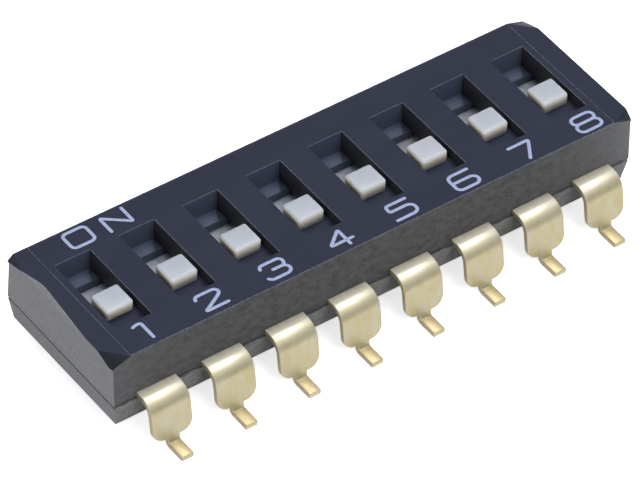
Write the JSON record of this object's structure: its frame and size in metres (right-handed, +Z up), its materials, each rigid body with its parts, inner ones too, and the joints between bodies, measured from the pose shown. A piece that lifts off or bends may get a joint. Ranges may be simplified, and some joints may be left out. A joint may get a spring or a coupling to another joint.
{
  "type": "dip switch",
  "caption": "Slide dip switch for surface mounting: a dark moulded case with a row of white sliders in windows and gull-wing leads on both long sides.",
  "frame": {"origin": "middle of the switch on the board plane, under the solder feet", "axes": "+X along the row from position 1 to the last, +Y towards the ON side, +Z up from the board"},
  "size_m": [0.0212, 0.0098, 0.0037],
  "materials": {
    "cover_plastic": "satin moulded plastic, dark navy",
    "base_plastic": "matte moulded plastic, charcoal",
    "slider_plastic": "satin white moulded plastic",
    "terminal_gold": "pale gold plate on stamped copper alloy",
    "contact_gold": "gold plate on spring alloy"
  },
  "bodies": {
    "housing": {"cover": "cover_plastic", "base": "base_plastic", "front_terminal_1": "terminal_gold", "front_terminal_2": "terminal_gold", "front_terminal_3": "terminal_gold", "front_terminal_4": "terminal_gold", "front_terminal_5": "terminal_gold", "front_terminal_6": "terminal_gold", "front_terminal_7": "terminal_gold", "front_terminal_8": "terminal_gold", "back_terminal_1": "terminal_gold", "back_terminal_2": "terminal_gold", "back_terminal_3": "terminal_gold", "back_terminal_4": "terminal_gold", "back_terminal_5": "terminal_gold", "back_terminal_6": "terminal_gold", "back_terminal_7": "terminal_gold", "back_terminal_8": "terminal_gold"},
    "switch_1": {"slider_1": "slider_plastic", "wiper_1": "contact_gold"},
    "switch_2": {"slider_2": "slider_plastic", "wiper_2": "contact_gold"},
    "switch_3": {"slider_3": "slider_plastic", "wiper_3": "contact_gold"},
    "switch_4": {"slider_4": "slider_plastic", "wiper_4": "contact_gold"},
    "switch_5": {"slider_5": "slider_plastic", "wiper_5": "contact_gold"},
    "switch_6": {"slider_6": "slider_plastic", "wiper_6": "contact_gold"},
    "switch_7": {"slider_7": "slider_plastic", "wiper_7": "contact_gold"},
    "switch_8": {"slider_8": "slider_plastic", "wiper_8": "contact_gold"}
  },
  "joints": [
    {"name": "slide_1", "type": "slide", "parent": "housing", "child": "switch_1", "axis": [0, 1, 0], "range_m": [0, 0.00108]},
    {"name": "slide_2", "type": "slide", "parent": "housing", "child": "switch_2", "axis": [0, 1, 0], "range_m": [0, 0.00108]},
    {"name": "slide_3", "type": "slide", "parent": "housing", "child": "switch_3", "axis": [0, 1, 0], "range_m": [0, 0.00108]},
    {"name": "slide_4", "type": "slide", "parent": "housing", "child": "switch_4", "axis": [0, 1, 0], "range_m": [0, 0.00108]},
    {"name": "slide_5", "type": "slide", "parent": "housing", "child": "switch_5", "axis": [0, 1, 0], "range_m": [0, 0.00108]},
    {"name": "slide_6", "type": "slide", "parent": "housing", "child": "switch_6", "axis": [0, 1, 0], "range_m": [0, 0.00108]},
    {"name": "slide_7", "type": "slide", "parent": "housing", "child": "switch_7", "axis": [0, 1, 0], "range_m": [0, 0.00108]},
    {"name": "slide_8", "type": "slide", "parent": "housing", "child": "switch_8", "axis": [0, 1, 0], "range_m": [0, 0.00108]}
  ]
}
